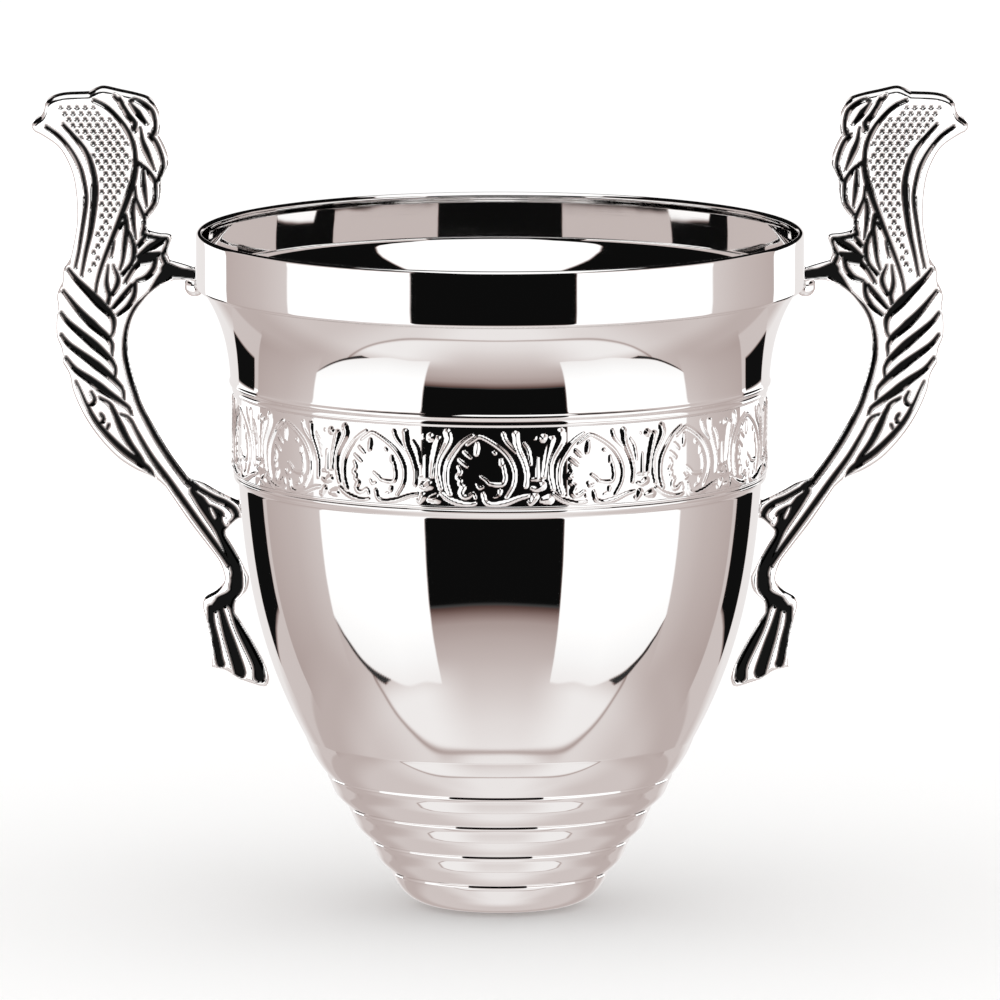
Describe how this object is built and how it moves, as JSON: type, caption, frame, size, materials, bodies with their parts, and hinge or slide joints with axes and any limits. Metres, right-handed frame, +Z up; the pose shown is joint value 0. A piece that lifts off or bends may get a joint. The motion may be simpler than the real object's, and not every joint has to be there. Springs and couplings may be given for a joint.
{
  "type": "cup trophy",
  "caption": "Two-handled silver cup trophy: deep tapering bowl with flared rim, relief frieze and rolled ribs, and tall cast handles with leaves, straps and clawed feet.",
  "frame": {"origin": "centre of the bowl's flat foot, on the surface it stands on", "axes": "+Z up along the bowl's axis, handles at +X and -X, front and back faces towards -Y and +Y"},
  "size_m": [0.2472, 0.1596, 0.2173],
  "materials": {
    "bowl_silver": "mirror-polished silver-coloured plating, faintly warm",
    "handle_silver": "polished silver-coloured plating on a casting, recesses blackened",
    "fastener_steel": "zinc-plated steel"
  },
  "bodies": {
    "root": {"bowl": "bowl_silver", "handle_left": "handle_silver", "handle_right": "handle_silver", "upper_screw_left": "fastener_steel", "upper_screw_right": "fastener_steel", "lower_screw_left": "fastener_steel", "lower_screw_right": "fastener_steel", "upper_washer_left": "fastener_steel", "upper_washer_right": "fastener_steel", "lower_washer_left": "fastener_steel", "lower_washer_right": "fastener_steel"}
  },
  "joints": []
}
